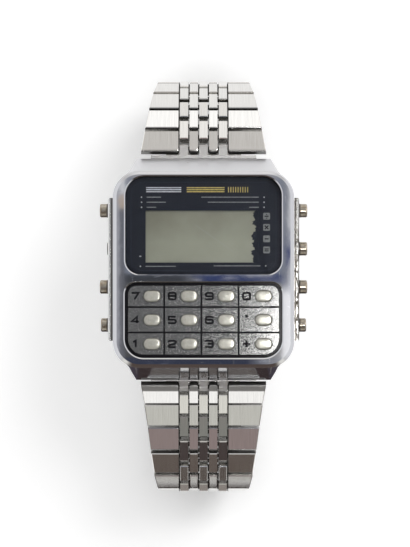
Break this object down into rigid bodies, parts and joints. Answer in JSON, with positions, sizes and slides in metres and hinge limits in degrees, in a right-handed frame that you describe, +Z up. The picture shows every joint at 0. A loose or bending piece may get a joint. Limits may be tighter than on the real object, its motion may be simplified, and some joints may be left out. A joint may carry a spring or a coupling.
{
  "type": "calculator watch",
  "caption": "Steel-cased digital calculator wristwatch with a keypad under its display, side pushers and a brick-link bracelet closed by a flap clasp.",
  "frame": {"origin": "on the surface that the closed clasp lies on, straight below the middle of the dial", "axes": "+X to 3 o'clock, +Y to 12 o'clock, +Z up out of the dial"},
  "size_m": [0.0392, 0.0802, 0.0375],
  "materials": {
    "chrome_case": "polished plate",
    "back_steel": "brushed",
    "screw_steel": "turned",
    "gasket_rubber": "moulded",
    "crystal_glass": "clear, lightly scratched",
    "black_print": "printed black",
    "cell_glass": "grey-green polariser",
    "module_plastic": "moulded",
    "board_laminate": "laminate",
    "chip_plastic": "moulded",
    "battery_steel": "plated",
    "clip_steel": "sprung",
    "buzzer_brass": "bare",
    "keypad_silver": "sparkled silver paint, worn",
    "membrane_rubber": "moulded",
    "spring_steel": "drawn",
    "key_cream": "satin, worn",
    "pusher_nickel": "worn plate",
    "bracelet_steel": "brushed tops, polished edges",
    "clasp_steel": "brushed"
  },
  "bodies": {
    "case": {"case_body": "chrome_case", "case_back": "back_steel", "case_back_screws": "screw_steel", "crystal": "crystal_glass", "keypad_plate": "keypad_silver", "end_links": "bracelet_steel", "case_back_gasket": "gasket_rubber", "display_mask": "black_print", "lcd_cell": "cell_glass", "module_frame": "module_plastic", "circuit_board": "board_laminate", "processor_chip": "chip_plastic", "battery_cell": "battery_steel", "battery_clip": "clip_steel", "buzzer_disc": "buzzer_brass", "key_membrane": "membrane_rubber", "pusher_springs": "spring_steel", "lug_spring_bars": "spring_steel"},
    "key_7": {"key_7": "key_cream"},
    "key_8": {"key_8": "key_cream"},
    "key_9": {"key_9": "key_cream"},
    "key_0": {"key_0": "key_cream"},
    "key_4": {"key_4": "key_cream"},
    "key_5": {"key_5": "key_cream"},
    "key_6": {"key_6": "key_cream"},
    "key_point": {"key_point": "key_cream"},
    "key_1": {"key_1": "key_cream"},
    "key_2": {"key_2": "key_cream"},
    "key_3": {"key_3": "key_cream"},
    "key_plus": {"key_plus": "key_cream"},
    "pusher_right_1": {"pusher_right_1": "pusher_nickel"},
    "pusher_right_2": {"pusher_right_2": "pusher_nickel"},
    "pusher_right_3": {"pusher_right_3": "pusher_nickel"},
    "pusher_right_4": {"pusher_right_4": "pusher_nickel"},
    "pusher_left_1": {"pusher_left_1": "pusher_nickel"},
    "pusher_left_2": {"pusher_left_2": "pusher_nickel"},
    "pusher_left_3": {"pusher_left_3": "pusher_nickel"},
    "pusher_left_4": {"pusher_left_4": "pusher_nickel"},
    "link_12h_1": {"link_12h_1": "bracelet_steel"},
    "link_12h_2": {"link_12h_2": "bracelet_steel"},
    "link_12h_3": {"link_12h_3": "bracelet_steel"},
    "link_12h_4": {"link_12h_4": "bracelet_steel"},
    "link_12h_5": {"link_12h_5": "bracelet_steel"},
    "link_12h_6": {"link_12h_6": "bracelet_steel"},
    "link_12h_7": {"link_12h_7": "bracelet_steel"},
    "link_12h_8": {"link_12h_8": "bracelet_steel"},
    "link_12h_9": {"link_12h_9": "bracelet_steel"},
    "link_6h_1": {"link_6h_1": "bracelet_steel"},
    "link_6h_2": {"link_6h_2": "bracelet_steel"},
    "link_6h_3": {"link_6h_3": "bracelet_steel"},
    "link_6h_4": {"link_6h_4": "bracelet_steel"},
    "link_6h_5": {"link_6h_5": "bracelet_steel"},
    "link_6h_6": {"link_6h_6": "bracelet_steel"},
    "link_6h_7": {"link_6h_7": "bracelet_steel"},
    "link_6h_8": {"link_6h_8": "bracelet_steel"},
    "link_6h_9": {"link_6h_9": "bracelet_steel"},
    "link_6h_10": {"link_6h_10": "bracelet_steel"},
    "link_6h_11": {"link_6h_11": "bracelet_steel"},
    "clasp_frame": {"clasp_frame": "clasp_steel"},
    "clasp_flap": {"clasp_flap": "clasp_steel"}
  },
  "joints": [
    {"name": "key_7_press", "type": "slide", "parent": "case", "child": "key_7", "axis": [0, 0, -1], "range_m": [0, 0.0003], "stiffness_N_per_m": 1000, "deforming": ["key_membrane"]},
    {"name": "key_8_press", "type": "slide", "parent": "case", "child": "key_8", "axis": [0, 0, -1], "range_m": [0, 0.0003], "stiffness_N_per_m": 1000},
    {"name": "key_9_press", "type": "slide", "parent": "case", "child": "key_9", "axis": [0, 0, -1], "range_m": [0, 0.0003], "stiffness_N_per_m": 1000},
    {"name": "key_0_press", "type": "slide", "parent": "case", "child": "key_0", "axis": [0, 0, -1], "range_m": [0, 0.0003], "stiffness_N_per_m": 1000},
    {"name": "key_4_press", "type": "slide", "parent": "case", "child": "key_4", "axis": [0, 0, -1], "range_m": [0, 0.0003], "stiffness_N_per_m": 1000},
    {"name": "key_5_press", "type": "slide", "parent": "case", "child": "key_5", "axis": [0, 0, -1], "range_m": [0, 0.0003], "stiffness_N_per_m": 1000},
    {"name": "key_6_press", "type": "slide", "parent": "case", "child": "key_6", "axis": [0, 0, -1], "range_m": [0, 0.0003], "stiffness_N_per_m": 1000},
    {"name": "key_point_press", "type": "slide", "parent": "case", "child": "key_point", "axis": [0, 0, -1], "range_m": [0, 0.0003], "stiffness_N_per_m": 1000},
    {"name": "key_1_press", "type": "slide", "parent": "case", "child": "key_1", "axis": [0, 0, -1], "range_m": [0, 0.0003], "stiffness_N_per_m": 1000},
    {"name": "key_2_press", "type": "slide", "parent": "case", "child": "key_2", "axis": [0, 0, -1], "range_m": [0, 0.0003], "stiffness_N_per_m": 1000},
    {"name": "key_3_press", "type": "slide", "parent": "case", "child": "key_3", "axis": [0, 0, -1], "range_m": [0, 0.0003], "stiffness_N_per_m": 1000},
    {"name": "key_plus_press", "type": "slide", "parent": "case", "child": "key_plus", "axis": [0, 0, -1], "range_m": [0, 0.0003], "stiffness_N_per_m": 1000},
    {"name": "pusher_right_1_press", "type": "slide", "parent": "case", "child": "pusher_right_1", "axis": [-1, 0, 0], "range_m": [0, 0.0006], "stiffness_N_per_m": 1500, "deforming": ["pusher_springs"]},
    {"name": "pusher_right_2_press", "type": "slide", "parent": "case", "child": "pusher_right_2", "axis": [-1, 0, 0], "range_m": [0, 0.0006], "stiffness_N_per_m": 1500},
    {"name": "pusher_right_3_press", "type": "slide", "parent": "case", "child": "pusher_right_3", "axis": [-1, 0, 0], "range_m": [0, 0.0006], "stiffness_N_per_m": 1500},
    {"name": "pusher_right_4_press", "type": "slide", "parent": "case", "child": "pusher_right_4", "axis": [-1, 0, 0], "range_m": [0, 0.0006], "stiffness_N_per_m": 1500},
    {"name": "pusher_left_1_press", "type": "slide", "parent": "case", "child": "pusher_left_1", "axis": [1, 0, 0], "range_m": [0, 0.0006], "stiffness_N_per_m": 1500},
    {"name": "pusher_left_2_press", "type": "slide", "parent": "case", "child": "pusher_left_2", "axis": [1, 0, 0], "range_m": [0, 0.0005], "stiffness_N_per_m": 1500},
    {"name": "pusher_left_3_press", "type": "slide", "parent": "case", "child": "pusher_left_3", "axis": [1, 0, 0], "range_m": [0, 0.0006], "stiffness_N_per_m": 1500},
    {"name": "pusher_left_4_press", "type": "slide", "parent": "case", "child": "pusher_left_4", "axis": [1, 0, 0], "range_m": [0, 0.0006], "stiffness_N_per_m": 1500},
    {"name": "link_12h_1_bend", "type": "hinge", "parent": "case", "child": "link_12h_1", "pos_m": [0, 0.0229, 0.0315], "axis": [1, 0, 0], "range_deg": [0, 16]},
    {"name": "link_12h_2_bend", "type": "hinge", "parent": "link_12h_1", "child": "link_12h_2", "pos_m": [0, 0.02722, 0.0293], "axis": [1, 0, 0], "range_deg": [0, 15]},
    {"name": "link_12h_3_bend", "type": "hinge", "parent": "link_12h_2", "child": "link_12h_3", "pos_m": [0, 0.03094, 0.02618], "axis": [1, 0, 0], "range_deg": [0, 14]},
    {"name": "link_12h_4_bend", "type": "hinge", "parent": "link_12h_3", "child": "link_12h_4", "pos_m": [0, 0.0339, 0.02233], "axis": [1, 0, 0], "range_deg": [0, 16]},
    {"name": "link_12h_5_bend", "type": "hinge", "parent": "link_12h_4", "child": "link_12h_5", "pos_m": [0, 0.03563, 0.01781], "axis": [1, 0, 0], "range_deg": [0, 19]},
    {"name": "link_12h_6_bend", "type": "hinge", "parent": "link_12h_5", "child": "link_12h_6", "pos_m": [0, 0.03559, 0.01298], "axis": [1, 0, 0], "range_deg": [0, 18]},
    {"name": "link_12h_7_bend", "type": "hinge", "parent": "link_12h_6", "child": "link_12h_7", "pos_m": [0, 0.03385, 0.00846], "axis": [1, 0, 0], "range_deg": [0, 19]},
    {"name": "link_12h_8_bend", "type": "hinge", "parent": "link_12h_7", "child": "link_12h_8", "pos_m": [0, 0.03058, 0.00489], "axis": [1, 0, 0], "range_deg": [0, 19]},
    {"name": "link_12h_9_bend", "type": "hinge", "parent": "link_12h_8", "child": "link_12h_9", "pos_m": [0, 0.02622, 0.00281], "axis": [1, 0, 0], "range_deg": [0, 18]},
    {"name": "link_6h_1_bend", "type": "hinge", "parent": "case", "child": "link_6h_1", "pos_m": [0, -0.0223, 0.0315], "axis": [-1, 0, 0], "range_deg": [0, 28]},
    {"name": "link_6h_2_bend", "type": "hinge", "parent": "link_6h_1", "child": "link_6h_2", "pos_m": [0, -0.02645, 0.02901], "axis": [-1, 0, 0], "range_deg": [0, 6]},
    {"name": "link_6h_3_bend", "type": "hinge", "parent": "link_6h_2", "child": "link_6h_3", "pos_m": [0, -0.03102, 0.02739], "axis": [-1, 0, 0], "range_deg": [0, 6]},
    {"name": "link_6h_4_bend", "type": "hinge", "parent": "link_6h_3", "child": "link_6h_4", "pos_m": [0, -0.0357, 0.0261], "axis": [-1, 0, 0], "range_deg": [0, 19]},
    {"name": "link_6h_5_bend", "type": "hinge", "parent": "link_6h_4", "child": "link_6h_5", "pos_m": [0, -0.03963, 0.02329], "axis": [-1, 0, 0], "range_deg": [0, 21]},
    {"name": "link_6h_6_bend", "type": "hinge", "parent": "link_6h_5", "child": "link_6h_6", "pos_m": [0, -0.04197, 0.01907], "axis": [-1, 0, 0], "range_deg": [0, 20]},
    {"name": "link_6h_7_bend", "type": "hinge", "parent": "link_6h_6", "child": "link_6h_7", "pos_m": [0, -0.04243, 0.01425], "axis": [-1, 0, 0], "range_deg": [0, 19]},
    {"name": "link_6h_8_bend", "type": "hinge", "parent": "link_6h_7", "child": "link_6h_8", "pos_m": [0, -0.04106, 0.00961], "axis": [-1, 0, 0], "range_deg": [0, 19]},
    {"name": "link_6h_9_bend", "type": "hinge", "parent": "link_6h_8", "child": "link_6h_9", "pos_m": [0, -0.03805, 0.00583], "axis": [-1, 0, 0], "range_deg": [0, 18]},
    {"name": "link_6h_10_bend", "type": "hinge", "parent": "link_6h_9", "child": "link_6h_10", "pos_m": [0, -0.0339, 0.00333], "axis": [-1, 0, 0], "range_deg": [0, 18]},
    {"name": "link_6h_11_bend", "type": "hinge", "parent": "link_6h_10", "child": "link_6h_11", "pos_m": [0, -0.02915, 0.00237], "axis": [-1, 0, 0], "range_deg": [0, 13]},
    {"name": "clasp_frame_bend", "type": "hinge", "parent": "link_12h_9", "child": "clasp_frame", "pos_m": [0, 0.0214, 0.0023], "axis": [1, 0, 0], "range_deg": [0, 10]},
    {"name": "clasp_flap_open", "type": "hinge", "parent": "clasp_frame", "child": "clasp_flap", "pos_m": [0, 0.01, 0.0014], "axis": [1, 0, 0], "range_deg": [0, 95]}
  ]
}
